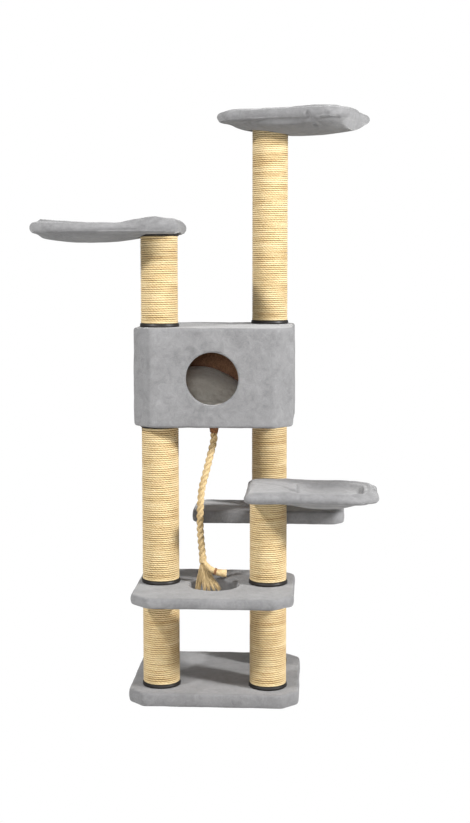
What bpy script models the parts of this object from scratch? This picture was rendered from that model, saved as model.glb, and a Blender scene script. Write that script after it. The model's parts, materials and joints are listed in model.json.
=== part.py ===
"""Tall cat tree: wound posts on threaded rods, plush boards, a plush house, three slung perches
and a hanging rope. Metres, +Z up, origin on the floor under the middle of the whole tree's box."""

import math

import bpy
import bmesh
from mathutils import Matrix, Vector

# ---- driving sizes -------------------------------------------------------------------------
GAP = 0.0003            # clearance between pieces that touch
PLUSH = 0.004           # thickness of the plush on the boards
LIP = 0.014             # how far the plush is folded in under a board
ROUND = 0.008           # rounding of a plush edge

POST_RADIUS = 0.060     # outside of the wound sisal
TUBE_RADIUS = 0.0535    # outside of the cardboard tube
TUBE_WALL = 0.005
RING_RADIUS = 0.0622
RING_HEIGHT = 0.011
ROD_RADIUS = 0.005
ROD_HOLE = 0.0055
ROD_HEAD_RADIUS = 0.011
ROD_HEAD_HEIGHT = 0.006
POST_SIDES = 28

FOOTPRINT_SHIFT = (0.0200, 0.0229)   # the base's middle, from the middle of the whole tree's box

# plan places from here on are measured from the middle of the base
POST_A = (-0.1735, -0.134)
POST_B = (0.1735, -0.134)
POST_C = (0.168, 0.128)

BASE_SIZE = (0.548, 0.476)
BASE_TOP = 0.046
BASE_CUT = 0.050
PLATFORM_SIZE = (0.508, 0.418)
PLATFORM_CENTRE = (0.004, -0.154)
PLATFORM_BOTTOM = 0.353
PLATFORM_TOP = 0.387
PLATFORM_CUT = 0.055
ROPE_HOLE_CENTRE = (0.0, -0.165)
ROPE_HOLE_RADIUS = 0.081
REAR_SHELF_SIZE = (0.506, 0.220)
REAR_SHELF_CENTRE = (0.168, 0.108)
REAR_SHELF_BOTTOM = 0.552
REAR_SHELF_TOP = 0.596
REAR_SHELF_CUT = 0.030

HOUSE_SIZE = (0.504, 0.460)
HOUSE_BOTTOM = 0.900
HOUSE_TOP = 1.212
HOUSE_CUT = 0.055
PANEL = 0.012
DOOR_RADIUS = 0.083
DOOR_HEIGHT = 1.054

CUSHION_SIZE = (0.40, 0.34)
CUSHION_CENTRE = (0.0, 0.010)
CUSHION_CUT = 0.045
CUSHION_EDGE = 0.018
CUSHION_HEIGHT = 0.050
CUSHION_HUMP = (-0.085, 0.075)      # where the slumped cushion is heaped highest
CUSHION_HUMP_REACH = 0.20
CUSHION_HUMP_HEIGHT = 0.100

PERCH_BOARD = 0.012     # thickness of a perch's frame board
PERCH_BOARD_INSET = 0.0135   # room for the padded roll outside the frame board
FRAME_BORDER = 0.040    # width from a perch's outline to its sling's opening
ROLL_DROP = 0.003       # how far the padded roll hangs below the frame board
ROLL_STEPS = 6
POST_ROOM_RADIUS = 0.0640    # clear space under a perch for the top of its post
LEFT_PERCH_SEAT = 1.509
FRONT_PERCH_SEAT = 0.674
TOP_PERCH_SEAT = 1.872

ROPE_RADIUS = 0.0118
KNOT_TOP = 0.9028
KNOT_BOTTOM = 0.874
KNOT_TIP_RADIUS = 0.0070     # small enough to clear the rope as it swings
# the frayed end at rising drops below the rope: drop, shift to the right, half width, half depth
TASSEL_SHAPE = [
    (0.000, 0.0000, 0.0120, 0.0120),
    (0.015, 0.0015, 0.0135, 0.0135),
    (0.034, 0.0050, 0.0220, 0.0180),
    (0.055, 0.0115, 0.0330, 0.0240),
    (0.085, 0.0220, 0.0440, 0.0290),
    (0.108, 0.0220, 0.0410, 0.0270),
]
TASSEL_SIDES = 24
TASSEL_GAP = 0.0022     # room for the rope's sloping end above the tassel
TASSEL_FLUTE = 0.80     # how deep the gaps between its strands reach
ROPE_ROUTE = [
    (0.000, -0.140, 0.874),
    (-0.001, -0.140, 0.850),
    (-0.009, -0.140, 0.815),
    (-0.024, -0.140, 0.755),
    (-0.040, -0.140, 0.690),
    (-0.045, -0.140, 0.620),
    (-0.045, -0.140, 0.560),
    (-0.041, -0.140, 0.505),
    (-0.037, -0.140, 0.466),
]


# ---- materials -----------------------------------------------------------------------------
def material(name, colour, roughness, metallic=0.0):
    made = bpy.data.materials.get(name)
    if made is None:
        made = bpy.data.materials.new(name)
        made.use_nodes = True
        shader = made.node_tree.nodes["Principled BSDF"]
        shader.inputs["Base Color"].default_value = (*colour, 1.0)
        shader.inputs["Roughness"].default_value = roughness
        shader.inputs["Metallic"].default_value = metallic
    return made


def plush_grey():
    return material("plush_grey", (0.36, 0.36, 0.375), 0.95)


def sisal_cord():
    return material("sisal_cord", (0.78, 0.62, 0.36), 0.85)


def black_plastic():
    return material("black_plastic", (0.030, 0.026, 0.023), 0.45)


def cardboard():
    return material("cardboard", (0.42, 0.31, 0.20), 0.90)


def chipboard():
    return material("chipboard", (0.30, 0.20, 0.12), 0.85)


def zinc_steel():
    return material("zinc_steel", (0.62, 0.62, 0.62), 0.35, 1.0)


def rope_fibre():
    return material("rope_fibre", (0.66, 0.48, 0.27), 0.90)


def knot_binding():
    return material("knot_binding", (0.30, 0.17, 0.09), 0.85)


# ---- small modelling helpers ---------------------------------------------------------------
def clear_scene():
    for old in list(bpy.data.objects):
        bpy.data.objects.remove(old, do_unlink=True)


def add_object(name, mesh, finish):
    made = bpy.data.objects.new(name, mesh)
    bpy.context.scene.collection.objects.link(made)
    if finish is not None:
        mesh.materials.clear()
        mesh.materials.append(finish)
    return made


def mesh_from(name, points, faces):
    mesh = bpy.data.meshes.new(name)
    mesh.from_pydata(points, [], faces)
    shape = bmesh.new()
    shape.from_mesh(mesh)
    bmesh.ops.recalc_face_normals(shape, faces=shape.faces)
    shape.to_mesh(mesh)
    shape.free()
    return mesh


def cut_rectangle(x_low, x_high, y_low, y_high, cuts):
    """A rectangle with its corners cut; cuts run front-left, front-right, back-right, back-left."""
    front_left, front_right, back_right, back_left = cuts
    return [
        (x_low + front_left[0], y_low),
        (x_high - front_right[0], y_low),
        (x_high, y_low + front_right[1]),
        (x_high, y_high - back_right[1]),
        (x_high - back_right[0], y_high),
        (x_low + back_left[0], y_high),
        (x_low, y_high - back_left[1]),
        (x_low, y_low + front_left[1]),
    ]


def centred_outline(size, centre, cut, inset=0.0):
    """The outline of a board with equal corner cuts, drawn in evenly by inset."""
    half_x = size[0] / 2.0 - inset
    half_y = size[1] / 2.0 - inset
    corner = cut - inset * (2.0 - math.sqrt(2.0))
    x, y = centre
    return cut_rectangle(x - half_x, x + half_x, y - half_y, y + half_y, [(corner, corner)] * 4)


def prism(name, outline, bottom, top, finish=None, edge_round=0.0):
    """A straight block over an outline, its edges rounded when edge_round is given."""
    count = len(outline)
    points = [(x, y, bottom) for x, y in outline] + [(x, y, top) for x, y in outline]
    faces = [tuple(reversed(range(count))), tuple(range(count, 2 * count))]
    for i in range(count):
        j = (i + 1) % count
        faces.append((i, j, count + j, count + i))
    mesh = mesh_from(name, points, faces)
    if edge_round > 0.0:
        shape = bmesh.new()
        shape.from_mesh(mesh)
        bmesh.ops.bevel(shape, geom=list(shape.edges), offset=edge_round, segments=2,
                        profile=0.5, affect='EDGES')
        shape.to_mesh(mesh)
        shape.free()
    return add_object(name, mesh, finish)


def lathe(name, profile, sides, centre=(0.0, 0.0), finish=None):
    """Turn a closed or axis-ended profile of (radius, height) pairs about a vertical axis."""
    points = []
    rings = []
    for radius, height in profile:
        if radius == 0.0:
            points.append((centre[0], centre[1], height))
            rings.append([len(points) - 1])
            continue
        ring = []
        for i in range(sides):
            turn = 2.0 * math.pi * i / sides
            points.append((centre[0] + radius * math.cos(turn), centre[1] + radius * math.sin(turn), height))
            ring.append(len(points) - 1)
        rings.append(ring)
    closed = profile[0][0] > 0.0
    pairs = list(zip(rings, rings[1:]))
    if closed:
        pairs.append((rings[-1], rings[0]))
    faces = []
    for low, high in pairs:
        for i in range(sides):
            j = (i + 1) % sides
            if len(low) == 1:
                faces.append((low[0], high[j], high[i]))
            elif len(high) == 1:
                faces.append((low[i], low[j], high[0]))
            else:
                faces.append((low[i], low[j], high[j], high[i]))
    return add_object(name, mesh_from(name, points, faces), finish)


def solid_cylinder(name, radius, bottom, top, centre, sides=24, finish=None):
    profile = [(0.0, bottom), (radius, bottom), (radius, top), (0.0, top)]
    return lathe(name, profile, sides, centre, finish)


def lying_cylinder(name, radius, front, back, x, height, sides=40):
    """A cylinder lying along Y."""
    made = solid_cylinder(name, radius, 0.0, back - front, (0.0, 0.0), sides)
    made.data.transform(Matrix.Translation((x, front, height)) @ Matrix.Rotation(math.radians(-90.0), 4, 'X'))
    return made


def carve(target, cutter, operation='DIFFERENCE'):
    """Cut, or with UNION join, a hidden tool shape into the target."""
    step = target.modifiers.new(cutter.name, 'BOOLEAN')
    step.operation = operation
    step.solver = 'EXACT'
    step.object = cutter
    cutter.hide_render = True
    cutter.display_type = 'WIRE'
    cutter.parent = target


def drill(target, centres, bottom, top, radius=ROD_HOLE, sides=16):
    for number, centre in enumerate(centres):
        carve(target, solid_cylinder(f"{target.name}_drill_{number}", radius, bottom, top, centre, sides))


# ---- posts ---------------------------------------------------------------------------------
def ring_collar(name, centre, bottom, top):
    inner = TUBE_RADIUS + GAP
    edge = 0.0012
    profile = [
        (inner, bottom),
        (RING_RADIUS, bottom),
        (RING_RADIUS, top - edge),
        (RING_RADIUS - edge, top),
        (inner, top),
    ]
    lathe(name, profile, POST_SIDES, centre, black_plastic())


def post_section(name, centre, bottom, top):
    """One post length between two boards: tube, sisal winding and a collar at each end."""
    low = bottom + GAP
    high = top - GAP
    tube = [(TUBE_RADIUS - TUBE_WALL, low), (TUBE_RADIUS, low), (TUBE_RADIUS, high), (TUBE_RADIUS - TUBE_WALL, high)]
    lathe(f"{name}_tube", tube, POST_SIDES, centre, cardboard())
    inner = TUBE_RADIUS + GAP
    wrap_low = low + RING_HEIGHT + GAP
    wrap_high = high - RING_HEIGHT - GAP
    wrap = [(inner, wrap_low), (POST_RADIUS, wrap_low), (POST_RADIUS, wrap_high), (inner, wrap_high)]
    lathe(f"{name}_sisal", wrap, POST_SIDES, centre, sisal_cord())
    ring_collar(f"{name}_lower_ring", centre, low, low + RING_HEIGHT)
    ring_collar(f"{name}_upper_ring", centre, high - RING_HEIGHT, high)


def threaded_rod(name, centre, bottom, top):
    """A rod with a flat head at its lower end, screwed into the board above."""
    profile = [
        (0.0, bottom),
        (ROD_HEAD_RADIUS, bottom),
        (ROD_HEAD_RADIUS, bottom + ROD_HEAD_HEIGHT),
        (ROD_RADIUS, bottom + ROD_HEAD_HEIGHT),
        (ROD_RADIUS, top),
        (0.0, top),
    ]
    lathe(name, profile, 16, centre, zinc_steel())


def rod_seat(target, centre, board_bottom):
    """A recess under a board that hides a rod's head."""
    depth = ROD_HEAD_HEIGHT + 2.0 * GAP
    carve(target, solid_cylinder(f"{target.name}_seat_{len(target.modifiers)}", ROD_HEAD_RADIUS + 2.0 * GAP,
                                 board_bottom - 0.01, board_bottom + depth, centre, 16))


# ---- plush boards --------------------------------------------------------------------------
def plush_cover(name, size, centre, cut, bottom, top):
    """Plush over the top and sides of a board, folded in under its edge."""
    cover = prism(name, centred_outline(size, centre, cut), bottom, top, plush_grey(), ROUND)
    pocket = prism(f"{name}_pocket", centred_outline(size, centre, cut, PLUSH), bottom + PLUSH, top - PLUSH)
    carve(cover, pocket)
    mouth = prism(f"{name}_mouth", centred_outline(size, centre, cut, LIP), bottom - 0.01, bottom + PLUSH + 0.002)
    carve(cover, mouth)
    return cover


def covered_board(name, size, centre, cut, bottom, top):
    """A plush covered board; returns the cover and the board."""
    cover = plush_cover(f"{name}_cover", size, centre, cut, bottom, top)
    inset = PLUSH + GAP
    board = prism(f"{name}_board", centred_outline(size, centre, cut, inset),
                  bottom + inset, top - inset, chipboard())
    return cover, board


def base():
    cover, board = covered_board("base", BASE_SIZE, (0.0, 0.0), BASE_CUT, 0.0, BASE_TOP)
    posts = [POST_A, POST_B, POST_C]
    drill(cover, posts, BASE_TOP - 0.01, BASE_TOP + 0.01)
    drill(board, posts, -0.01, BASE_TOP + 0.01)
    for post in posts:
        rod_seat(board, post, PLUSH + GAP)


def platform():
    cover, board = covered_board("platform", PLATFORM_SIZE, PLATFORM_CENTRE, PLATFORM_CUT,
                                 PLATFORM_BOTTOM, PLATFORM_TOP)
    lining = solid_cylinder("platform_hole_lining", ROPE_HOLE_RADIUS + PLUSH, PLATFORM_BOTTOM,
                            PLATFORM_TOP - PLUSH / 2.0, ROPE_HOLE_CENTRE, 40)
    carve(cover, lining, 'UNION')
    below = PLATFORM_BOTTOM - 0.01
    above = PLATFORM_TOP + 0.01
    drill(cover, [ROPE_HOLE_CENTRE], below, above, ROPE_HOLE_RADIUS, 40)
    drill(board, [ROPE_HOLE_CENTRE], below, above, ROPE_HOLE_RADIUS + PLUSH + GAP, 40)
    for target in (cover, board):
        drill(target, [POST_A, POST_B], below, above)


def rear_shelf():
    cover, board = covered_board("rear_shelf", REAR_SHELF_SIZE, REAR_SHELF_CENTRE, REAR_SHELF_CUT,
                                 REAR_SHELF_BOTTOM, REAR_SHELF_TOP)
    for target in (cover, board):
        drill(target, [POST_C], REAR_SHELF_BOTTOM - 0.01, REAR_SHELF_TOP + 0.01)


# ---- house ---------------------------------------------------------------------------------
def house_outline(inset):
    return centred_outline(HOUSE_SIZE, (0.0, 0.0), HOUSE_CUT, inset)


def house_panels():
    """Floor and roof boards with the four walls standing between them."""
    skin = PLUSH + GAP
    outline = house_outline(skin)
    floor_low = HOUSE_BOTTOM + skin
    floor = prism("house_floor", outline, floor_low, floor_low + PANEL, chipboard())
    drill(floor, [POST_A, POST_C], floor_low - 0.01, floor_low + PANEL + 0.01)
    roof_high = HOUSE_TOP - skin
    roof = prism("house_roof", outline, roof_high - PANEL, roof_high, chipboard())
    drill(roof, [POST_A, POST_C], roof_high - PANEL - 0.01, roof_high + 0.01)
    for post in (POST_A, POST_C):
        rod_seat(roof, post, roof_high - PANEL)

    inside = house_outline(skin + PANEL)
    low = floor_low + PANEL + GAP
    high = roof_high - PANEL - GAP

    def shifted(point, distance):
        return point[0] + distance, point[1]

    front_plan = [shifted(outline[0], GAP), shifted(outline[1], -GAP), shifted(inside[1], -GAP), shifted(inside[0], GAP)]
    front = prism("house_front_wall", front_plan, low, high, chipboard())
    carve(front, lying_cylinder("house_front_wall_doorway", DOOR_RADIUS, -0.26, -0.19, 0.0, DOOR_HEIGHT))
    back_plan = [shifted(outline[4], -GAP), shifted(outline[5], GAP), shifted(inside[5], GAP), shifted(inside[4], -GAP)]
    prism("house_back_wall", back_plan, low, high, chipboard())
    right_plan = [outline[i] for i in (1, 2, 3, 4)] + [inside[i] for i in (4, 3, 2, 1)]
    prism("house_right_wall", right_plan, low, high, chipboard())
    left_plan = [outline[i] for i in (5, 6, 7, 0)] + [inside[i] for i in (0, 7, 6, 5)]
    prism("house_left_wall", left_plan, low, high, chipboard())
    return low


def house():
    cover = plush_cover("house_cover", HOUSE_SIZE, (0.0, 0.0), HOUSE_CUT, HOUSE_BOTTOM, HOUSE_TOP)
    carve(cover, lying_cylinder("house_cover_doorway", DOOR_RADIUS, -0.26, -0.19, 0.0, DOOR_HEIGHT))
    drill(cover, [POST_A, POST_C], HOUSE_TOP - 0.01, HOUSE_TOP + 0.01)
    house_cushion(house_panels() + GAP)


def house_cushion(bottom):
    """A loose cushion, heaped up towards the back left."""
    def outline(inset):
        return refine(centred_outline(CUSHION_SIZE, CUSHION_CENTRE, CUSHION_CUT, inset))

    def height(point):
        away = (point - Vector(CUSHION_HUMP)).length / CUSHION_HUMP_REACH
        return bottom + CUSHION_HEIGHT + CUSHION_HUMP_HEIGHT * max(0.0, 1.0 - away ** 2)

    def on_top(share):
        loop = mixed_loop([Vector(CUSHION_HUMP)] * len(edge), edge, share)
        return [(p.x, p.y, height(p)) for p in loop]

    edge = outline(CUSHION_EDGE)
    side = outline(0.0)
    hump = Vector(CUSHION_HUMP)
    loops = [
        [(*CUSHION_CENTRE, bottom)],
        [(p.x, p.y, bottom) for p in edge],
        [(p.x, p.y, bottom + CUSHION_EDGE) for p in side],
        [(p.x, p.y, height(p) - CUSHION_EDGE) for p in side],
    ]
    for share in (1.0, 0.8, 0.6, 0.4, 0.2):
        loops.append(on_top(share))
    loops.append([(hump.x, hump.y, height(hump))])
    loft("house_cushion", loops, plush_grey())


# ---- perches -------------------------------------------------------------------------------
def refine(outline):
    """The outline with a point added in the middle of every side."""
    points = []
    for here, after in zip(outline, outline[1:] + outline[:1]):
        points.append(Vector(here))
        points.append((Vector(here) + Vector(after)) / 2.0)
    return points


def inset_loop(loop, distance):
    """A closed loop of plan points drawn in evenly by distance."""
    moved = []
    count = len(loop)
    for i, point in enumerate(loop):
        before = (point - loop[i - 1]).normalized()
        after = (loop[(i + 1) % count] - point).normalized()
        inward = Vector((-before.y - after.y, before.x + after.x)).normalized()
        lean = max(0.3, inward.dot(Vector((-before.y, before.x))))
        moved.append(point + inward * (distance / lean))
    return moved


def mixed_loop(first, second, share):
    return [a.lerp(b, share) for a, b in zip(first, second)]


def rolled_rim(outline, seat, rim_height):
    """Loops up the outside of a padded roll, from its lowest line to its highest."""
    radius = (rim_height + ROLL_DROP) / 2.0
    loops = []
    for step in range(ROLL_STEPS + 1):
        turn = math.pi * (step / ROLL_STEPS - 0.5)
        loop = inset_loop(outline, radius * (1.0 - math.cos(turn)))
        height = seat - ROLL_DROP + radius * (1.0 + math.sin(turn))
        loops.append([(p.x, p.y, height) for p in loop])
    return loops


def perch(name, post, seat, rim_height, reach, behind, half_width, far_cut, near_cut, clear, sag, facing):
    """A frame board on a post with padded plush stretched over its rim and slung in its opening.

    The perch is drawn along +X from its post and then turned to its facing about the post."""
    cuts = [near_cut, far_cut, far_cut, near_cut]
    outer = refine(cut_rectangle(-behind, reach, -half_width, half_width, cuts))
    hole_half = half_width - FRAME_BORDER
    hole_cut = (far_cut[0] * 0.75, far_cut[1] * 0.75)
    hole_cuts = [(0.030, 0.030), hole_cut, hole_cut, (0.030, 0.030)]
    opening = refine(cut_rectangle(clear, reach - FRAME_BORDER, -hole_half, hole_half, hole_cuts))
    middle = Vector(((clear + reach - FRAME_BORDER) / 2.0, 0.0))

    board_plan = inset_loop(outer, PERCH_BOARD_INSET + GAP)
    board = prism(f"{name}_board", [tuple(p) for p in board_plan], seat + GAP, seat + PERCH_BOARD, chipboard())
    carve(board, prism(f"{name}_board_opening", [tuple(p) for p in opening], seat - 0.02, seat + 0.04))
    drill(board, [(0.0, 0.0)], seat - 0.02, seat + 0.04)

    def height_loop(loop, height):
        return [(p.x, p.y, height) for p in loop]

    def slung(share, height):
        return height_loop([middle.lerp(p, share) for p in opening], height)

    rim = seat + rim_height
    over_board = seat + PERCH_BOARD + GAP
    under = seat - ROLL_DROP
    skin = 0.006
    lip = PERCH_BOARD_INSET + 0.008
    loops = [height_loop(inset_loop(outer, lip), under)]
    loops += rolled_rim(outer, seat, rim_height)
    loops.append(height_loop(mixed_loop(outer, opening, 0.62), rim - 0.001))
    loops.append(height_loop(mixed_loop(outer, opening, 0.85), rim - 0.005))
    for share in (0.97, 0.86, 0.68, 0.40):
        slope = rim_height * share ** 9 * 0.75
        loops.append(slung(share, under + skin - sag * (1.0 - share ** 2) + slope))
    loops.append([(middle.x, middle.y, under + skin - sag)])
    loops.append([(middle.x, middle.y, under - sag)])
    for share in (0.40, 0.68, 0.86, 0.94):
        loops.append(slung(share, under - sag * (1.0 - share ** 2)))
    loops.append(slung(0.97, over_board))
    loops.append(height_loop(inset_loop(outer, PERCH_BOARD_INSET), over_board))
    loops.append(height_loop(inset_loop(outer, PERCH_BOARD_INSET), seat))
    loops.append(height_loop(inset_loop(outer, lip), seat))

    cover = loft(f"{name}_sling", loops, plush_grey())
    carve(cover, solid_cylinder(f"{name}_post_room", POST_ROOM_RADIUS, seat - 0.02, seat, (0.0, 0.0), 32))
    for piece in (board, cover):
        piece.location = (post[0], post[1], 0.0)
        piece.rotation_euler = (0.0, 0.0, facing)


def loft(name, loops, finish):
    """Skin a run of loops whose ends meet; a single point closes the loop beside it."""
    points = []
    rings = []
    for loop in loops:
        rings.append(list(range(len(points), len(points) + len(loop))))
        points.extend(loop)
    faces = []
    for low, high in zip(rings, rings[1:] + rings[:1]):
        if len(low) == 1 and len(high) == 1:
            continue
        sides = max(len(low), len(high))
        for i in range(sides):
            j = (i + 1) % sides
            if len(low) == 1:
                faces.append((low[0], high[j], high[i]))
            elif len(high) == 1:
                faces.append((low[i], low[j], high[0]))
            else:
                faces.append((low[i], low[j], high[j], high[i]))
    return add_object(name, mesh_from(name, points, faces), finish)


def perches():
    perch("left_perch", POST_A, LEFT_PERCH_SEAT, 0.036, 0.392, 0.078, 0.170, (0.060, 0.060), (0.040, 0.045),
          0.090, 0.022, math.pi)
    perch("front_perch", POST_B, FRONT_PERCH_SEAT, 0.027, 0.352, 0.074, 0.160, (0.070, 0.060), (0.030, 0.035),
          0.085, 0.028, 0.0)
    perch("top_perch", POST_C, TOP_PERCH_SEAT, 0.036, 0.315, 0.142, 0.165, (0.060, 0.060), (0.040, 0.045),
          0.085, 0.034, math.radians(-19.0))


# ---- hanging rope --------------------------------------------------------------------------
def smooth_route(route, steps):
    """Points along a smooth curve through the route's places."""
    places = [Vector(p) for p in route]
    padded = [2.0 * places[0] - places[1]] + places + [2.0 * places[-1] - places[-2]]
    points = []
    for i in range(1, len(padded) - 2):
        p0, p1, p2, p3 = padded[i - 1], padded[i], padded[i + 1], padded[i + 2]
        for k in range(steps):
            t = k / steps
            points.append(0.5 * (2.0 * p1 + (p2 - p0) * t + (2.0 * p0 - 5.0 * p1 + 4.0 * p2 - p3) * t ** 2
                                 + (3.0 * p1 - p0 - 3.0 * p2 + p3) * t ** 3))
    points.append(places[-1])
    return points


def rope():
    curve = bpy.data.curves.new("hanging_rope", 'CURVE')
    curve.dimensions = '3D'
    curve.bevel_depth = ROPE_RADIUS
    curve.bevel_resolution = 2
    curve.use_fill_caps = True
    points = smooth_route(ROPE_ROUTE, 3)
    points[0].z -= GAP
    points[-1].z += GAP
    line = curve.splines.new('POLY')
    line.points.add(len(points) - 1)
    for target, point in zip(line.points, points):
        target.co = (*point, 1.0)
    curve.materials.append(rope_fibre())
    made = bpy.data.objects.new("hanging_rope", curve)
    bpy.context.scene.collection.objects.link(made)


def rope_knot():
    x, y, _ = ROPE_ROUTE[0]
    profile = [
        (0.0, KNOT_BOTTOM),
        (KNOT_TIP_RADIUS, KNOT_BOTTOM),
        (0.0125, KNOT_BOTTOM + 0.005),
        (0.0145, KNOT_BOTTOM + 0.012),
        (0.0170, KNOT_TOP - 0.008),
        (0.0120, KNOT_TOP),
        (0.0, KNOT_TOP),
    ]
    lathe("rope_knot", profile, 20, (x, y), knot_binding())


def rope_tassel():
    """The frayed end of the rope: it spreads as it hangs, more to the right than to the left."""
    x, y, rope_end = ROPE_ROUTE[-1]
    points = [(0.0, 0.0, 0.0)]
    for drop, shift, half_width, half_depth in TASSEL_SHAPE:
        for i in range(TASSEL_SIDES):
            turn = 2.0 * math.pi * i / TASSEL_SIDES
            reach = TASSEL_FLUTE if i % 2 else 1.0
            points.append((shift + reach * half_width * math.cos(turn), reach * half_depth * math.sin(turn), -drop))
    lowest, end_shift = TASSEL_SHAPE[-1][:2]
    points.append((end_shift, 0.0, -lowest))
    faces = []
    for i in range(TASSEL_SIDES):
        after = (i + 1) % TASSEL_SIDES
        faces.append((0, 1 + i, 1 + after))
        for level in range(len(TASSEL_SHAPE) - 1):
            high = 1 + level * TASSEL_SIDES
            low = high + TASSEL_SIDES
            faces.append((high + i, low + i, low + after, high + after))
        last = 1 + (len(TASSEL_SHAPE) - 1) * TASSEL_SIDES
        faces.append((last + after, last + i, len(points) - 1))
    tassel = add_object("rope_tassel", mesh_from("rope_tassel", points, faces), rope_fibre())
    tassel.location = (x, y, rope_end - TASSEL_GAP)


# ---- assembly ------------------------------------------------------------------------------
def posts():
    sections = [
        ("post_a_low", POST_A, BASE_TOP, PLATFORM_BOTTOM + PLUSH),
        ("post_a_middle", POST_A, PLATFORM_TOP, HOUSE_BOTTOM + PLUSH),
        ("post_a_high", POST_A, HOUSE_TOP, LEFT_PERCH_SEAT),
        ("post_b_low", POST_B, BASE_TOP, PLATFORM_BOTTOM + PLUSH),
        ("post_b_high", POST_B, PLATFORM_TOP, FRONT_PERCH_SEAT),
        ("post_c_low", POST_C, BASE_TOP, REAR_SHELF_BOTTOM + PLUSH),
        ("post_c_middle", POST_C, REAR_SHELF_TOP, HOUSE_BOTTOM + PLUSH),
        ("post_c_high", POST_C, HOUSE_TOP, TOP_PERCH_SEAT),
    ]
    for name, centre, bottom, top in sections:
        post_section(name, centre, bottom, top)


def rods():
    board_low = PLUSH + 2.0 * GAP
    floor_end = HOUSE_BOTTOM + PLUSH + 0.010
    roof_low = HOUSE_TOP - PLUSH - PANEL
    perch_end = PERCH_BOARD - 0.003
    threaded_rod("rod_a_low", POST_A, board_low, floor_end)
    threaded_rod("rod_a_high", POST_A, roof_low, LEFT_PERCH_SEAT + perch_end)
    threaded_rod("rod_b", POST_B, board_low, FRONT_PERCH_SEAT + perch_end)
    threaded_rod("rod_c_low", POST_C, board_low, floor_end)
    threaded_rod("rod_c_high", POST_C, roof_low, TOP_PERCH_SEAT + perch_end)


def gather():
    """Hang every piece on one empty that puts the middle of the tree's box over the origin."""
    tree = bpy.data.objects.new("tree", None)
    tree.location = (*FOOTPRINT_SHIFT, 0.0)
    pieces = [piece for piece in bpy.context.scene.collection.objects if piece.parent is None]
    bpy.context.scene.collection.objects.link(tree)
    for piece in pieces:
        piece.parent = tree


clear_scene()
base()
platform()
rear_shelf()
house()
posts()
rods()
perches()
rope_knot()
rope()
rope_tassel()
gather()
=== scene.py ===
"""The look of a tall cat tree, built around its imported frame. Metres, +Z up."""

import json
import math
import random
from collections import namedtuple

import bmesh
import bpy
import numpy as np
from mathutils import Matrix, Vector, noise


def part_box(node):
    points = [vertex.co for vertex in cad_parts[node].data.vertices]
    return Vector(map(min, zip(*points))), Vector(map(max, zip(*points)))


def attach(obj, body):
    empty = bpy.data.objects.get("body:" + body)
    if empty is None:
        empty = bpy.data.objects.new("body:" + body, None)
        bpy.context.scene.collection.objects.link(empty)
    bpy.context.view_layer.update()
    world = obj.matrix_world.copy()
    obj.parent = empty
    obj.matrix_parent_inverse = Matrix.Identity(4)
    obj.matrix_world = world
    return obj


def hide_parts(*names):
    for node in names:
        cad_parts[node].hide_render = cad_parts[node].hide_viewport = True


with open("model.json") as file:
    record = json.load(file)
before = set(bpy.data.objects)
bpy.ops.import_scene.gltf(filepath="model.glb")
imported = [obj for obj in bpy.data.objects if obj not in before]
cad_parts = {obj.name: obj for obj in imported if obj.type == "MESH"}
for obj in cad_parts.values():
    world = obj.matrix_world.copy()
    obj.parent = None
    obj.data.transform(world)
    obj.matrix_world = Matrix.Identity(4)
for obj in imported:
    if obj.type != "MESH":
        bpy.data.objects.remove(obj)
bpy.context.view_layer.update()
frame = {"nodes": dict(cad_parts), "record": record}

# ---- places and sizes ----------------------------------------------------------------------
CAMERA_PLACE = (0.3340, -4.2871, 1.4082)
CAMERA_TILT_DOWN = 6.35
CAMERA_TURN_LEFT = 3.39
CAMERA_LENS = 57.73

SISAL_PITCH = 0.0068        # height of one turn of the post winding
WINDING_STEPS = 52          # places along one turn
CORD_SIDES = 7
SISAL_VALLEY = 0.0572       # distance from the axis to the bottom of the grooves
SISAL_CROWN = 0.0592
SISAL_PRESS = 1.03          # how far neighbouring turns press into each other
SISAL_WANDER = 0.0003
ROUND_SIDES = 96            # sides of a smooth turned piece

PLUSH = 0.004               # thickness of the plush
LIP = 0.014                 # how far it is folded in under a board
EDGE_ROUND = 0.009
OUTLINE_POINTS = 208
CORNER_ROUND = 0.008
BASE_CUT = 0.050
PLATFORM_CUT = 0.055
SHELF_CUT = 0.030
HOUSE_CUT = 0.055
HOUSE_POINTS = 300
HOUSE_ROWS = 34
HOUSE_REACH = 0.22
DOOR_SIDES = 120
DOOR_RADIUS = 0.0850
LINING_RADIUS = 0.0827
DOOR_HEIGHT = 1.054
ROPE_HOLE_RADIUS = 0.0795
ROPE_HOLE_CENTRE = (0.0200, -0.1421)
ROPE_HOLE_BEAD = 0.0125     # how far the lining turns out under the board

ROPE_DIAMETER = 0.0236
ROPE_LAY = 0.062            # length of one twist of the hanging rope
YARN_STEPS = 11
YARN_SIDES = 5
STRAND_SIDES = 30
STRAND_YARNS = 5
THIN_CORD_SIDES = 8
ROPE_ROUTE = [
    (0.0200, -0.1171, 0.874),
    (0.0190, -0.1171, 0.850),
    (0.0110, -0.1171, 0.815),
    (-0.0040, -0.1171, 0.755),
    (-0.0200, -0.1171, 0.690),
    (-0.0250, -0.1171, 0.620),
    (-0.0250, -0.1171, 0.560),
    (-0.0210, -0.1171, 0.505),
    (-0.0170, -0.1171, 0.466),
]

# the frayed end's locks: where each one ends beside the rope's end (right, back) and its thickness
TASSEL_LOCKS = [
    (-0.022, -0.004, 0.0066),
    (-0.013, -0.013, 0.0066),
    (0.007, -0.019, 0.0070),
    (0.022, -0.018, 0.0070),
    (0.038, -0.014, 0.0068),
    (0.052, -0.006, 0.0066),
    (0.054, 0.006, 0.0060),
    (0.034, 0.014, 0.0064),
    (0.014, 0.016, 0.0066),
    (-0.012, 0.008, 0.0060),
]
YARNS_IN_LOCK = 15
LOCK_FLARE = 1.25
YARN_OVERLAP = 0.003        # how far the yarns reach up into the rope
YARN_WAVE = 0.0009
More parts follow.
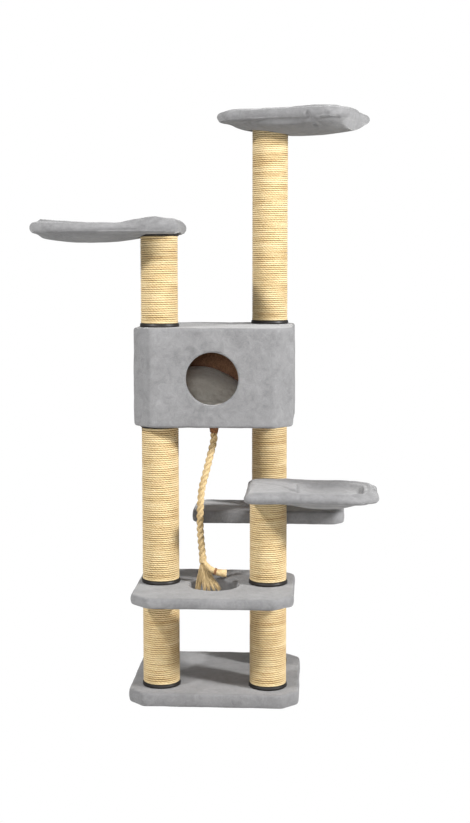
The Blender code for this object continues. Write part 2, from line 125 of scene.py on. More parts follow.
# the one strand that bends out to the right: (right, back, up) from the rope's end
BENT_STRAND = [
    (0.003, -0.002, -0.008),
    (0.014, -0.008, -0.022),
    (0.028, -0.013, -0.033),
    (0.043, -0.015, -0.040),
    (0.059, -0.014, -0.044),
    (0.077, -0.012, -0.046),
]

BINDING_CORD = 0.0017
BINDING_RADIUS = 0.0100

# a soft heap in the house: its highest place, its reach and how far it rises
CUSHION_EDGE = 0.018
CUSHION_HEIGHT = 0.050
CUSHION_HUMP = (-0.065, 0.0979)
CUSHION_HUMP_REACH = 0.20
CUSHION_HUMP_HEIGHT = 0.100
CUSHION_VOXEL = 0.007
CUSHION_PUFF = 0.008

# creases in each perch's plush: start and end (along, across, up), depth and width
LEFT_CREASES = [
    ((-0.020, 0.160, 0.034), (0.030, 0.168, 0.012), 0.0040, 0.010),
    ((0.060, 0.165, 0.030), (0.330, 0.160, 0.010), 0.0030, 0.008),
    ((0.100, -0.160, 0.034), (0.200, -0.168, 0.010), 0.0035, 0.010),
]
FRONT_CREASES = [
    ((-0.028, 0.046, 0.026), (0.054, -0.016, 0.026), 0.0030, 0.010),
    ((0.054, -0.016, 0.024), (0.134, -0.094, 0.018), 0.0060, 0.010),
    ((0.134, -0.094, 0.018), (0.228, -0.105, 0.018), 0.0045, 0.010),
    ((0.245, -0.013, 0.010), (0.296, -0.105, 0.022), 0.0060, 0.011),
    ((0.225, -0.100, 0.018), (0.285, -0.150, 0.012), 0.0050, 0.009),
    ((0.270, -0.145, 0.004), (0.300, -0.142, 0.000), 0.0080, 0.008),
    ((0.300, -0.060, 0.024), (0.345, -0.010, 0.022), 0.0040, 0.012),
]
TOP_CREASES = [
    ((0.184, -0.164, 0.010), (0.198, -0.115, -0.022), 0.0140, 0.0055),
    ((0.226, -0.164, -0.002), (0.248, -0.163, 0.006), 0.0060, 0.009),
    ((0.248, -0.162, 0.008), (0.266, -0.153, 0.026), 0.0060, 0.009),
    ((0.232, -0.150, -0.012), (0.274, -0.138, -0.004), 0.0050, 0.009),
    ((0.150, 0.160, 0.020), (0.220, 0.150, 0.000), 0.0050, 0.011),
]

# Perch places run from the post: +X along the perch, y across it, z from its seat level.
# rim, belly and crest are heights: crest lifts the rim at places along x. Creases are as above.
Perch = namedtuple("Perch", "post seat rim reach behind half near_cut far_cut clear sag facing "
                            "belly crest creases")
Belly = namedtuple("Belly", "middle reach half drop power")
PERCHES = {
    "left_perch": Perch(
        "post_a_high", 1.509, 0.036, 0.392, 0.078, 0.170, 0.042, 0.060, 0.090, 0.018, 180.0,
        Belly(0.215, 0.19, 0.155, 0.0260, 0.7),
        [(-0.080, -0.001), (-0.062, 0.003), (-0.039, 0.003), (-0.003, 0.007),
         (0.028, 0.003), (0.066, -0.003), (0.100, -0.010), (0.202, -0.011),
         (0.305, -0.002), (0.325, 0.001), (0.370, 0.005), (0.392, 0.005)],
        LEFT_CREASES),
    "front_perch": Perch(
        "post_b_high", 0.674, 0.027, 0.352, 0.074, 0.160, 0.012, 0.058, 0.085, 0.014, 0.0,
        Belly(0.175, 0.15, 0.145, 0.031, 0.8),
        [(-0.074, -0.002), (-0.020, 0.001), (0.060, 0.003), (0.110, 0.0),
         (0.200, -0.002), (0.352, 0.0)],
        FRONT_CREASES),
    "top_perch": Perch(
        "post_c_high", 1.872, 0.036, 0.309, 0.148, 0.165, 0.048, 0.048, 0.085, 0.020, -19.0,
        Belly(0.12, 0.25, 0.170, 0.036, 0.8),
        [(-0.142, -0.006), (-0.080, -0.003), (0.000, -0.004), (0.120, -0.003),
         (0.230, 0.001), (0.262, 0.002), (0.315, -0.004)],
        TOP_CREASES),
}
FRAME_BORDER = 0.040        # width of the frame board under the rolled rim
ROLL_DROP = 0.003           # how far the roll hangs under the seat level
ROLL_STEPS = 14
PUFF_ROOM = 0.0025          # how much thinner a pad starts than it ends
PUFF_SHRINK = 0.0030        # how far its outline is pulled in as it fills
PILLOW_CORNER = 0.018
BOARD_COVER = 0.0075        # inset of the plush at the level of the frame board
PAD_VOXEL = 0.0055
PERCH_POINTS = 144
OPENING_CORNER = 0.030
POST_ROOM_RADIUS = 0.0655

# soft random swells of each kind of cover: (depth, size)
BOARD_SWELLS = [(0.0012, 0.060), (0.0006, 0.022)]
PLATFORM_SWELLS = [(0.0011, 0.060), (0.0005, 0.022)]
HOUSE_SWELLS = [(0.0022, 0.090), (0.0009, 0.030)]
CUSHION_SWELLS = [(0.0055, 0.070), (0.0020, 0.026)]
PERCH_SWELLS = [(0.0011, 0.070), (0.0006, 0.026)]

CLOTH_QUALITY = 5
CLOTH_PRESSURE = 4.0
CLOTH_FRAMES = 20
PERCH_PUFF = 0.006

SKY_LIGHT = 0.38
FLOOR_SHADE = (0.60, 0.60, 0.60)
FLOOR_REACH = 14.0
# each light's name, place, aim, size and power
STUDIO_LIGHTS = [
    ("key_light", (-2.3, -2.6, 3.6), (0.0, 0.0, 0.9), 0.45, 185.0),
    ("side_light", (3.0, -1.6, 2.4), (0.0, 0.0, 1.1), 0.50, 212.0),
    ("front_light", (0.1, -4.4, 1.6), (0.0, 0.0, 1.0), 1.1, 52.0),
]


# ---- shader helpers ------------------------------------------------------------------------
class Number:
    """A number socket that takes part in sums."""

    def __init__(self, finish, socket):
        self.finish = finish
        self.socket = socket

    def sum_with(self, operation, first, second):
        made = self.finish.add("ShaderNodeMath", {"operation": operation}, {0: first, 1: second})
        return Number(self.finish, made.outputs[0])

    def __add__(self, other):
        return self.sum_with('ADD', self, other)

    __radd__ = __add__

    def __sub__(self, other):
        return self.sum_with('SUBTRACT', self, other)

    def __rsub__(self, other):
        return self.sum_with('SUBTRACT', other, self)

    def __mul__(self, other):
        return self.sum_with('MULTIPLY', self, other)

    __rmul__ = __mul__

    def __pow__(self, other):
        return self.sum_with('POWER', self, other)

    def sine(self):
        return self.sum_with('SINE', self, 0.0)

    def angle_to(self, other):
        return self.sum_with('ARCTAN2', self, other)


class Finish:
    """One material and the nodes that make it."""

    def __init__(self, name, colour, roughness, metallic=0.0):
        self.material = bpy.data.materials.new(name)
        self.material.use_nodes = True
        self.tree = self.material.node_tree
        self.shader = self.tree.nodes["Principled BSDF"]
        self.set(Base_Color=(*colour, 1.0), Roughness=roughness, Metallic=metallic)

    def add(self, kind, settings, inputs):
        made = self.tree.nodes.new(kind)
        for name, value in settings.items():
            if name == "stops":
                self.set_stops(made.color_ramp, value)
            else:
                setattr(made, name, value)
        for name, value in inputs.items():
            self.feed(made.inputs[name], value)
        return made

    def feed(self, socket, value):
        if isinstance(value, Number):
            value = value.socket
        if isinstance(value, bpy.types.NodeSocket):
            self.tree.links.new(value, socket)
        else:
            socket.default_value = value

    def set(self, **inputs):
        for name, value in inputs.items():
            self.feed(self.shader.inputs[name.replace("_", " ")], value)

    @staticmethod
    def set_stops(ramp, stops):
        while len(ramp.elements) < len(stops):
            ramp.elements.new(1.0)
        for element, (place, shade) in zip(ramp.elements, stops):
            element.position = place
            element.color = (*shade, 1.0)

    def place(self):
        return self.add("ShaderNodeTexCoord", {}, {}).outputs["Object"]

    def stretched(self, scales):
        inputs = {"Vector": self.place(), "Scale": scales}
        return self.add("ShaderNodeMapping", {"vector_type": 'POINT'}, inputs).outputs[0]

    def clouds(self, scale, detail=3.0, roughness=0.55, vector=None, distortion=0.0):
        """Soft random patches, from 0 to 1."""
        inputs = {"Scale": scale, "Detail": detail, "Roughness": roughness, "Distortion": distortion}
        inputs["Vector"] = self.place() if vector is None else vector
        return Number(self, self.add("ShaderNodeTexNoise", {}, inputs).outputs[0])

    def ramp(self, amount, stops):
        return self.add("ShaderNodeValToRGB", {"stops": stops}, {0: amount}).outputs[0]

    def raised(self, height, strength, distance):
        inputs = {"Height": height, "Strength": strength, "Distance": distance}
        self.set(Normal=self.add("ShaderNodeBump", {}, inputs).outputs[0])


# ---- finishes ------------------------------------------------------------------------------
def plush_finish():
    finish = Finish("plush_pile", (0.20, 0.20, 0.20), 0.95)
    broad = finish.clouds(9.0, 4.0, 0.62, distortion=0.6)
    brushed = finish.clouds(38.0, 4.0, 0.60, distortion=1.2)
    fine = finish.clouds(260.0, 3.0, 0.65)
    shade = broad * 0.42 + brushed * 0.40 + fine * 0.26
    finish.set(Base_Color=finish.ramp(shade, [
        (0.32, (0.112, 0.111, 0.112)),
        (0.50, (0.163, 0.162, 0.164)),
        (0.60, (0.191, 0.190, 0.192)),
        (0.78, (0.240, 0.239, 0.240)),
    ]))
    pile = finish.clouds(850.0, 2.0, 0.7)
    finish.raised(pile * 0.55 + fine * 0.45 + brushed * 0.9, 0.55, 0.0022)
    finish.set(Sheen_Weight=0.30, Sheen_Roughness=0.45, Specular_IOR_Level=0.10)
    return finish.material


def cushion_finish():
    """Pale fleece with a beige cast."""
    finish = Finish("cushion_fleece", (0.55, 0.53, 0.46), 0.95)
    tufts = finish.clouds(60.0, 4.0, 0.65, distortion=1.0)
    pile = finish.clouds(500.0, 3.0, 0.7)
    finish.set(Base_Color=finish.ramp(tufts * 0.6 + pile * 0.4, [
        (0.32, (0.480, 0.450, 0.380)),
        (0.50, (0.620, 0.595, 0.530)),
        (0.70, (0.740, 0.720, 0.660)),
    ]))
    finish.raised(pile * 0.6 + tufts, 0.6, 0.0025)
    finish.set(Sheen_Weight=0.3, Sheen_Roughness=0.5, Specular_IOR_Level=0.1)
    return finish.material


def sisal_finish():
    """Twisted sisal wound about the piece's own upright axis, with painted shade darkening the grooves
    between turns.
    """
    finish = Finish("sisal_winding", (0.75, 0.60, 0.36), 0.78)
    parts = finish.add("ShaderNodeSeparateXYZ", {}, {0: finish.place()})
    across, deep, up = (Number(finish, parts.outputs[i]) for i in range(3))
    turn = deep.angle_to(across)
    twist = (turn * 34.0 + up * 640.0).sine()
    along = finish.add("ShaderNodeCombineXYZ", {}, {0: turn * 2.2, 1: up * 260.0, 2: 0.0}).outputs[0]
    fibres = finish.clouds(3.2, 4.0, 0.7, vector=along)
    tone = finish.clouds(16.0, 3.0, 0.6, vector=finish.stretched((0.5, 0.5, 4.0)))
    outwards = (across * across + deep * deep) ** 0.5
    # painted shade: the colour gets darker towards the bottom of the grooves between turns, where shade
    # falls
    groove_shade = finish.add("ShaderNodeMapRange", {}, {"Value": outwards, "From Min": SISAL_VALLEY,
                                                   "From Max": SISAL_CROWN, "To Min": 0.24, "To Max": 0.0})
    shade = fibres * 0.55 + tone * 0.45 + twist * 0.035 - Number(finish, groove_shade.outputs[0])
    finish.set(Base_Color=finish.ramp(shade, [
        (0.20, (0.200, 0.105, 0.036)),
        (0.36, (0.390, 0.262, 0.112)),
        (0.47, (0.540, 0.415, 0.220)),
        (0.60, (0.630, 0.510, 0.305)),
        (0.80, (0.720, 0.620, 0.420)),
    ]))
    finish.raised(twist * 0.30 + fibres * 0.8, 0.6, 0.0011)
    finish.set(Specular_IOR_Level=0.25, Sheen_Weight=0.15, Sheen_Roughness=0.4)
    return finish.material


def rope_finish():
    finish = Finish("rope_fibre", (0.66, 0.50, 0.29), 0.85)
    fibres = finish.clouds(420.0, 4.0, 0.7, vector=finish.stretched((1.0, 1.0, 0.22)))
    tone = finish.clouds(34.0, 3.0, 0.6)
    finish.set(Base_Color=finish.ramp(fibres * 0.6 + tone * 0.4, [
        (0.30, (0.230, 0.150, 0.060)),
        (0.48, (0.430, 0.310, 0.150)),
        (0.62, (0.560, 0.430, 0.240)),
        (0.80, (0.680, 0.560, 0.360)),
    ]))
    finish.raised(fibres, 0.6, 0.0012)
    return finish.material


def binding_finish():
    finish = Finish("knot_binding", (0.30, 0.15, 0.07), 0.80)
    fibres = finish.clouds(520.0, 3.0, 0.7, vector=finish.stretched((0.3, 0.3, 1.0)))
    finish.set(Base_Color=finish.ramp(fibres, [
        (0.30, (0.085, 0.034, 0.015)),
        (0.70, (0.300, 0.125, 0.038)),
    ]))
    finish.raised(fibres, 0.5, 0.0010)
    return finish.material


def plastic_finish():
    finish = Finish("black_plastic", (0.012, 0.010, 0.009), 0.45)
    grain = finish.clouds(900.0, 2.0)
    smear = finish.clouds(30.0, 2.0)
    finish.set(Roughness=smear * 0.25 + 0.36)
    finish.set(Specular_IOR_Level=0.30)
    finish.raised(grain, 0.10, 0.0004)
    return finish.material


def board_finish():
    """Dark raw chipboard: pressed flakes in two sizes."""
    finish = Finish("raw_chipboard", (0.23, 0.14, 0.085), 0.82)
    inputs = {"Vector": finish.place(), "Scale": 210.0}
    flakes = finish.add("ShaderNodeTexVoronoi", {"feature": 'F1'}, inputs)
    flake_tone = Number(finish, flakes.outputs["Distance"])
    grain = finish.clouds(70.0, 5.0, 0.7)
    finish.set(Base_Color=finish.ramp(grain * 0.7 + flake_tone * 0.3, [
        (0.28, (0.190, 0.085, 0.040)),
        (0.50, (0.360, 0.180, 0.095)),
        (0.72, (0.500, 0.280, 0.160)),
    ]))
    finish.raised(flake_tone + grain, 0.35, 0.0008)
    return finish.material


def cardboard_finish():
    finish = Finish("tube_cardboard", (0.42, 0.31, 0.20), 0.90)
    fibres = finish.clouds(140.0, 4.0, 0.6, vector=finish.stretched((1.0, 1.0, 0.2)))
    finish.set(Base_Color=finish.ramp(fibres, [(0.3, (0.34, 0.25, 0.155)), (0.7, (0.50, 0.38, 0.25))]))
    finish.raised(fibres, 0.2, 0.0005)
    return finish.material


def steel_finish():
    finish = Finish("zinc_plated_steel", (0.60, 0.60, 0.61), 0.35, 1.0)
    spangle = finish.clouds(240.0, 3.0)
    finish.set(Roughness=spangle * 0.3 + 0.22)
    finish.raised(spangle, 0.08, 0.0003)
    return finish.material


def floor_finish():
    """Plain white to look at, and a soft grey to the light it gives back."""
    finish = Finish("studio_floor", FLOOR_SHADE, 0.9)
    finish.set(Specular_IOR_Level=0.0)
    glow = finish.add("ShaderNodeEmission", {}, {"Color": (1.0, 1.0, 1.0, 1.0), "Strength": 1.0}).outputs[0]
    seen = finish.add("ShaderNodeLightPath", {}, {}).outputs["Is Camera Ray"]
    inputs = {0: seen, 1: finish.shader.outputs[0], 2: glow}
    mixed = finish.add("ShaderNodeMixShader", {}, inputs).outputs[0]
    finish.tree.links.new(mixed, finish.tree.nodes["Material Output"].inputs["Surface"])
    return finish.material


# ---- mesh helpers --------------------------------------------------------------------------
def add_piece(name, mesh, finish, body="frame", replaced=()):
    """Adds a mesh to the scene as a piece of the object."""
    for face in mesh.polygons:
        face.use_smooth = True
    mesh.materials.clear()
    mesh.materials.append(finish)
    made = bpy.data.objects.new(name, mesh)
    bpy.context.scene.collection.objects.link(made)
    register(made, body, replaced)
    return made


def register(piece, body="frame", replaced=()):
    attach(piece, body)
    if replaced:
        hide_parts(*replaced)


def mesh_of(name, points, faces):
    mesh = bpy.data.meshes.new(name)
    mesh.from_pydata([tuple(p) for p in points], [], faces)
    shape = bmesh.new()
    shape.from_mesh(mesh)
    bmesh.ops.recalc_face_normals(shape, faces=shape.faces)
    shape.to_mesh(mesh)
    shape.free()
    return mesh


def loft_mesh(name, loops, closed):
    """Skin a run of loops; a loop of one point is a pole, and closed joins the last to the first."""
    points = []
    rings = []
    for loop in loops:
        rings.append(range(len(points), len(points) + len(loop)))
        points.extend(loop)
    pairs = list(zip(rings, rings[1:]))
    if closed:
        pairs.append((rings[-1], rings[0]))
    faces = []
    for low, high in pairs:
        sides = max(len(low), len(high))
        if sides == 1:
            continue
        for i in range(sides):
            j = (i + 1) % sides
            if len(low) == 1:
                faces.append((low[0], high[j], high[i]))
            elif len(high) == 1:
                faces.append((low[i], low[j], high[0]))
            else:
                faces.append((low[i], low[j], high[j], high[i]))
    return mesh_of(name, points, faces)


def sweep_mesh(name, path, section_at):
    """Carry a section along a path; section_at(i) gives its (sideways, upward) points there."""
    path = [Vector(p) for p in path]
    side = None
    loops = []
    for i, point in enumerate(path):
        ahead = path[min(i + 1, len(path) - 1)] - path[max(i - 1, 0)]
        ahead.normalize()
        if side is None:
            side = ahead.orthogonal().normalized()
        side = (side - ahead * side.dot(ahead)).normalized()
        over = ahead.cross(side)
        loops.append([point + side * u + over * v for u, v in section_at(i)])
    loops.insert(0, [path[0]])
    loops.append([path[-1]])
    return loft_mesh(name, loops, closed=False)


def smooth_path(route, steps):
    """Points along a smooth curve through the route's places."""
    places = [Vector(p) for p in route]
    padded = [2.0 * places[0] - places[1]] + places + [2.0 * places[-1] - places[-2]]
    points = []
    for i in range(1, len(padded) - 2):
        p0, p1, p2, p3 = padded[i - 1:i + 3]
        for k in range(steps):
            t = k / steps
            points.append(0.5 * (2.0 * p1 + (p2 - p0) * t + (2.0 * p0 - 5.0 * p1 + 4.0 * p2 - p3) * t ** 2
                                 + (3.0 * p1 - p0 - 3.0 * p2 + p3) * t ** 3))
    points.append(places[-1])
    return points


def distances_along(points):
    """How far along the run of points each of them lies."""
    travelled = [0.0]
    for a, b in zip(points, points[1:]):
        travelled.append(travelled[-1] + (b - a).length)
    return travelled


def cord_section(radius):
    """Points round the section of a thin cord."""
    turns = [2.0 * math.pi * k / THIN_CORD_SIDES for k in range(THIN_CORD_SIDES)]
    return [(radius * math.cos(turn), radius * math.sin(turn)) for turn in turns]


def cut_corners(x_low, x_high, y_low, y_high, near_cut, far_cut):
    """A rectangle with cut corners; near_cut is at its low x end and far_cut at its high x end."""
    return [
        Vector((x_low + near_cut, y_low)),
        Vector((x_high - far_cut, y_low)),
        Vector((x_high, y_low + far_cut)),
        Vector((x_high, y_high - far_cut)),
        Vector((x_high - far_cut, y_high)),
        Vector((x_low + near_cut, y_high)),
        Vector((x_low, y_high - near_cut)),
        Vector((x_low, y_low + near_cut)),
    ]


def rounded_loop(corners, radius, count):
    """The corners joined by straight runs and soft bends, as evenly spaced points."""
    dense = []
    for i, corner in enumerate(corners):
        before = corners[i - 1] - corner
        after = corners[(i + 1) % len(corners)] - corner
        reach = min(radius, before.length * 0.45, after.length * 0.45)
        start = corner + before.normalized() * reach
        end = corner + after.normalized() * reach
        for k in range(9):
            t = k / 8.0
            dense.append(start * (1.0 - t) ** 2 + corner * 2.0 * t * (1.0 - t) + end * t ** 2)
    closed = dense + [dense[0]]
    travelled = distances_along(closed)
    marks = np.linspace(0.0, travelled[-1], count, endpoint=False)
    xs = np.interp(marks, travelled, [p.x for p in closed])
    ys = np.interp(marks, travelled, [p.y for p in closed])
    return [Vector((x, y)) for x, y in zip(xs, ys)]


def inset_loop(loop, distance):
    """A loop drawn in evenly by distance, or pushed out where it is negative."""
    moved = []
    count = len(loop)
    for i in range(count):
        run = loop[(i + 1) % count] - loop[i - 1]
        moved.append(loop[i] + Vector((-run.y, run.x)).normalized() * distance)
    return moved


def at_height(loop, height):
    return [(p.x, p.y, height) for p in loop]


def ripple(mesh, swells):
    """Push the surface in and out along its normals by soft random swells of (depth, size)."""
    normals = [v.normal.copy() for v in mesh.vertices]
    for vertex, normal in zip(mesh.vertices, normals):
        push = 0.0
        for number, (depth, size) in enumerate(swells):
            push += depth * noise.noise(vertex.co / size + Vector((number * 7.3, 1.7, 4.1)))
        vertex.co += normal * push


def subdivide(piece, levels=1):
    step = piece.modifiers.new("smooth", 'SUBSURF')
    step.levels = levels
    step.render_levels = levels


def turned_mesh(name, profile, centre, closed):
    """Turn a profile of (radius, height) about an upright axis; a zero radius is a pole."""
    loops = []
    for radius, height in profile:
        if radius == 0.0:
            loops.append([(centre[0], centre[1], height)])
            continue
        loops.append([
            (centre[0] + radius * math.cos(2.0 * math.pi * i / ROUND_SIDES),
             centre[1] + radius * math.sin(2.0 * math.pi * i / ROUND_SIDES), height)
            for i in range(ROUND_SIDES)
        ])
    return loft_mesh(name, loops, closed)


def middle_of(node):
    low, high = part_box(node)
    return (low[0] + high[0]) / 2.0, (low[1] + high[1]) / 2.0


# ---- camera, rope --------------------------------------------------------------------------
def camera():
    lens = bpy.data.cameras.new("studio_camera")
    lens.lens = CAMERA_LENS
    lens.sensor_width = 36.0
    made = bpy.data.objects.new("studio_camera", lens)
    made.location = CAMERA_PLACE
    made.rotation_euler = (math.radians(90.0 - CAMERA_TILT_DOWN), 0.0, math.radians(CAMERA_TURN_LEFT))
    bpy.context.scene.collection.objects.link(made)
    bpy.context.scene.camera = made


def strand_section(turn, radius):
    """Three laid strands seen end on, turned by an angle."""
    offset = radius * 0.52
    strand = radius * 0.48
    points = []
    for i in range(STRAND_SIDES):
        angle = 2.0 * math.pi * i / STRAND_SIDES
        near = nearest_strand(angle - turn)
        inside = max(strand ** 2 - (offset * math.sin(near)) ** 2, 0.0)
        reach = offset * math.cos(near) + math.sqrt(inside)
        points.append((reach * math.cos(angle), reach * math.sin(angle)))
    return points


def nearest_strand(angle):
    """The angle from the nearest of three strands."""
    third = 2.0 * math.pi / 3.0
    return (angle + third / 2.0) % third - third / 2.0


def hanging_rope(finish, tassel_pieces):
    path = smooth_path(ROPE_ROUTE, 14)
    travelled = distances_along(path)
    radius = ROPE_DIAMETER / 2.0

    def section_at(i):
        return strand_section(2.0 * math.pi * travelled[i] / ROPE_LAY, radius)

    mesh = sweep_mesh("hanging_rope_laid", path, section_at)
    rope = add_piece("hanging_rope_laid", mesh, finish, "rope", ["hanging_rope"])


def rope_tassel(finish, binding):
    """Locks of loose yarn that spread from the rope's end, and one strand bent out to the right."""
    draw = random.Random(11)
    top = Vector(ROPE_ROUTE[-1])
    full = top.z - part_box("rope_tassel")[0][2]
    points = []
    faces = []
    for right, back, thick in TASSEL_LOCKS:
        lean = Vector((right, back, 0.0))
        for yarn in range(YARNS_IN_LOCK):
            heading = draw.uniform(0.0, 2.0 * math.pi)
            share = math.sqrt(draw.uniform(0.0, 1.0))
            beside = Vector((math.cos(heading), math.sin(heading), 0.0)) * thick * share
            length = full * draw.uniform(0.90, 1.0)
            curl = draw.uniform(0.0, 2.0 * math.pi)
            path = []
            for k in range(YARN_STEPS + 1):
                t = k / YARN_STEPS
                gather = 0.45 + 0.55 * math.sin(math.pi * min(1.0, 0.18 + 0.70 * t))
                wave = Vector((math.cos(curl + 8.0 * t), math.sin(curl + 8.0 * t), 0.0)) * YARN_WAVE
                drop = Vector((0.0, 0.0, YARN_OVERLAP - length * t))
                path.append(top + lean * t ** LOCK_FLARE + beside * gather + wave + drop)
            add_yarn(points, faces, path, draw.uniform(0.0010, 0.0016))
    add_strand(points, faces, [top + Vector(p) for p in smooth_path(BENT_STRAND, 6)], 0.0068, 0.0128)
    rope_end = [top + Vector((0.0, 0.0, 0.006 - 0.003 * k)) for k in range(8)]
    add_strand(points, faces, rope_end, 0.0122, 0.0118)
    mesh = mesh_of("rope_tassel_yarns", points, faces)
    tassel = add_piece("rope_tassel_yarns", mesh, finish, "rope", ["rope_tassel"])
    bound = bound_strand(binding, top)
    return [tassel, bound]


def add_yarn(points, faces, path, thick):
    """One thin yarn with a round section that tapers to its tip."""
    base = len(points)
    last = len(path) - 1
    for k, centre in enumerate(path):
        width = thick * (1.0 - 0.45 * k / last)
        for side in range(YARN_SIDES):
            angle = 2.0 * math.pi * side / YARN_SIDES
            points.append(centre + Vector((width * math.cos(angle), width * math.sin(angle), 0.0)))
        if k:
            ring = base + YARN_SIDES * k
            before = ring - YARN_SIDES
            for side in range(YARN_SIDES):
                after = (side + 1) % YARN_SIDES
                faces.append((before + side, before + after, ring + after, ring + side))
    end = base + YARN_SIDES * last
    faces.append(tuple(reversed(range(base, base + YARN_SIDES))))
    faces.append(tuple(range(end, end + YARN_SIDES)))


def add_strand(points, faces, path, thin, thick):
    """A twisted strand of five yarns that swells from thin to thick."""
    last = len(path) - 1
    loops = []
    side = Vector((0.0, 1.0, 0.0))
    for k, centre in enumerate(path):
        ahead = (path[min(k + 1, last)] - path[max(k - 1, 0)]).normalized()
        side = (side - ahead * side.dot(ahead)).normalized()
        over = ahead.cross(side)
        radius = thin + (thick - thin) * k / last
        loop = []
        for i in range(STRAND_SIDES):
            angle = 2.0 * math.pi * i / STRAND_SIDES
            reach = radius * (0.88 + 0.12 * abs(math.cos(STRAND_YARNS / 2.0 * (angle - 0.22 * k))))
            loop.append(centre + side * reach * math.cos(angle) + over * reach * math.sin(angle))
        loops.append(loop)
    base = len(points)
    for loop in loops:
        points.extend(loop)
    for k in range(last):
        ring = base + STRAND_SIDES * k
        for i in range(STRAND_SIDES):
            after = (i + 1) % STRAND_SIDES
            faces.append((ring + i, ring + after, ring + STRAND_SIDES + after, ring + STRAND_SIDES + i))
    faces.append(tuple(reversed(range(base, base + STRAND_SIDES))))
    faces.append(tuple(range(base + STRAND_SIDES * last, base + STRAND_SIDES * (last + 1))))


def bound_strand(finish, top):
    """Brown cord wound round the bend of the loose strand."""
    route = [top + Vector(p) for p in smooth_path(BENT_STRAND, 24)]
    start, stop = int(len(route) * 0.54), int(len(route) * 0.62)
    path = []
    turns = 2.0
    steps = 160
    side = Vector((0.0, 1.0, 0.0))
    for k in range(steps + 1):
        t = k / steps
        place = start + (stop - start) * t
        here = route[int(place)].lerp(route[int(place) + 1], place - int(place))
        ahead = (route[int(place) + 2] - route[int(place) - 1]).normalized()
        side = (side - ahead * side.dot(ahead)).normalized()
        angle = 2.0 * math.pi * turns * t
        path.append(here + (side * math.cos(angle) + ahead.cross(side) * math.sin(angle)) * BINDING_RADIUS)
    circle = cord_section(BINDING_CORD)
    mesh = sweep_mesh("rope_tassel_binding", path, lambda i: circle)
    return add_piece("rope_tassel_binding", mesh, finish, "rope")


def rope_knot(finish):
    """A tapered core bound round with cord."""
    low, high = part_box("rope_knot")
    x, y = middle_of("rope_knot")
    bottom, top = low[2], high[2]
    turns = 6
    steps = turns * 40
    cord = 0.0027
    path = []
    for i in range(steps + 1):
        t = i / steps
        angle = 2.0 * math.pi * turns * t
        radius = 0.0142 - 0.0040 * t
        path.append((x + radius * math.cos(angle), y + radius * math.sin(angle),
                     top - cord - (top - bottom - 2.0 * cord) * t))
    circle = cord_section(cord)
    mesh = sweep_mesh("rope_knot_binding", path, lambda i: circle)
    add_piece("rope_knot_binding", mesh, finish, "rope_pivot", ["rope_knot"])
    tip = bottom + 0.001
    profile = [(0.0, top), (0.0135, top), (0.0140, top - 0.006), (0.0100, tip), (0.0, tip)]
    core = turned_mesh("rope_knot_core", profile, (x, y), False)
    add_piece("rope_knot_core", core, finish, "rope_pivot")


# ---- posts ---------------------------------------------------------------------------------
def wound_sisal(node, finish):
    """A sisal cord wound turn against turn round its tube."""
    low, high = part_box(node)
    x, y = middle_of(node)
    outside = (high[0] - low[0]) / 2.0
    height = high[2] - low[2]
    turns = max(1, round(height / SISAL_PITCH)) + 1
    cord = height / (turns - 1) / 2.0 * SISAL_PRESS
    steps = int(turns * WINDING_STEPS)
    t = np.linspace(0.0, 1.0, steps + 1)
    angle = 2.0 * math.pi * turns * t
    wander = np.array([noise.noise(Vector((a * 0.9, outside * 40.0, low[2] * 9.0))) for a in angle])
    lift = np.array([noise.noise(Vector((a * 0.55, 3.7, low[2] * 5.0))) for a in angle])
    radius = outside - cord - SISAL_WANDER + SISAL_WANDER * wander
    climb = -cord + (height + 2.0 * cord) * t + 0.0005 * lift * np.minimum(1.0, 20.0 * t * (1.0 - t))
    level = np.clip(climb, cord, height - cord)
    points = []
    for k in range(CORD_SIDES):
        around = 2.0 * math.pi * k / CORD_SIDES
        reach = radius + cord * math.cos(around)
        rise = level + cord * math.sin(around)
        points.append(np.stack([reach * np.cos(angle), reach * np.sin(angle), rise], 1))
    stack = np.stack(points, 1).reshape(-1, 3)
    faces = []
    for i in range(steps):
        here = i * CORD_SIDES
        after = here + CORD_SIDES
        for k in range(CORD_SIDES):
            j = (k + 1) % CORD_SIDES
            faces.append((here + k, after + k, after + j, here + j))
    faces.append(tuple(range(CORD_SIDES)))
    faces.append(tuple(reversed(range(steps * CORD_SIDES, (steps + 1) * CORD_SIDES))))
    mesh = bpy.data.meshes.new(f"{node}_winding")
    mesh.from_pydata(stack.tolist(), [], faces)
    for face in mesh.polygons:
        face.use_smooth = True
    mesh.materials.append(finish)
    piece = bpy.data.objects.new(f"{node}_winding", mesh)
    piece.location = (x, y, low[2])
    bpy.context.scene.collection.objects.link(piece)
    register(piece, "frame", [node])


def post_ring(node, finish):
    """A moulded collar with eased edges and a shallow step."""
    low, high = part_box(node)
    x, y = middle_of(node)
    outside = (high[0] - low[0]) / 2.0
    bottom, top = low[2], high[2]
    inside = outside - 0.0084
    ease = 0.0014
    step = 0.0006
    profile = [
        (inside, bottom), (outside - ease, bottom), (outside - ease * 0.3, bottom + ease * 0.3),
        (outside, bottom + ease), (outside, top - ease * 2.6), (outside - step, top - ease * 2.2),
        (outside - step, top - ease), (outside - step - ease * 0.3, top - ease * 0.3),
        (outside - step - ease, top), (inside, top),
    ]
    mesh = turned_mesh(f"{node}_collar", profile, (x, y), True)
    add_piece(f"{node}_collar", mesh, finish, "frame", [node])


# ---- plush boards --------------------------------------------------------------------------
def side_profile(bottom, top, rows):
    """(inset, height) pairs from under the edge, up the side and onto the top of a plush board."""
    ease = EDGE_ROUND
    profile = [
        (LIP, bottom + 0.0006), (ease, bottom),
        (ease * 0.45, bottom + ease * 0.15), (ease * 0.12, bottom + ease * 0.50),
    ]
    low, high = bottom + ease, top - ease
    for k in range(rows + 1):
        t = k / rows
        profile.append((-0.0012 * math.sin(math.pi * t), low + (high - low) * t))
    profile += [
        (ease * 0.12, top - ease * 0.50), (ease * 0.45, top - ease * 0.15), (ease, top),
    ]
    return profile


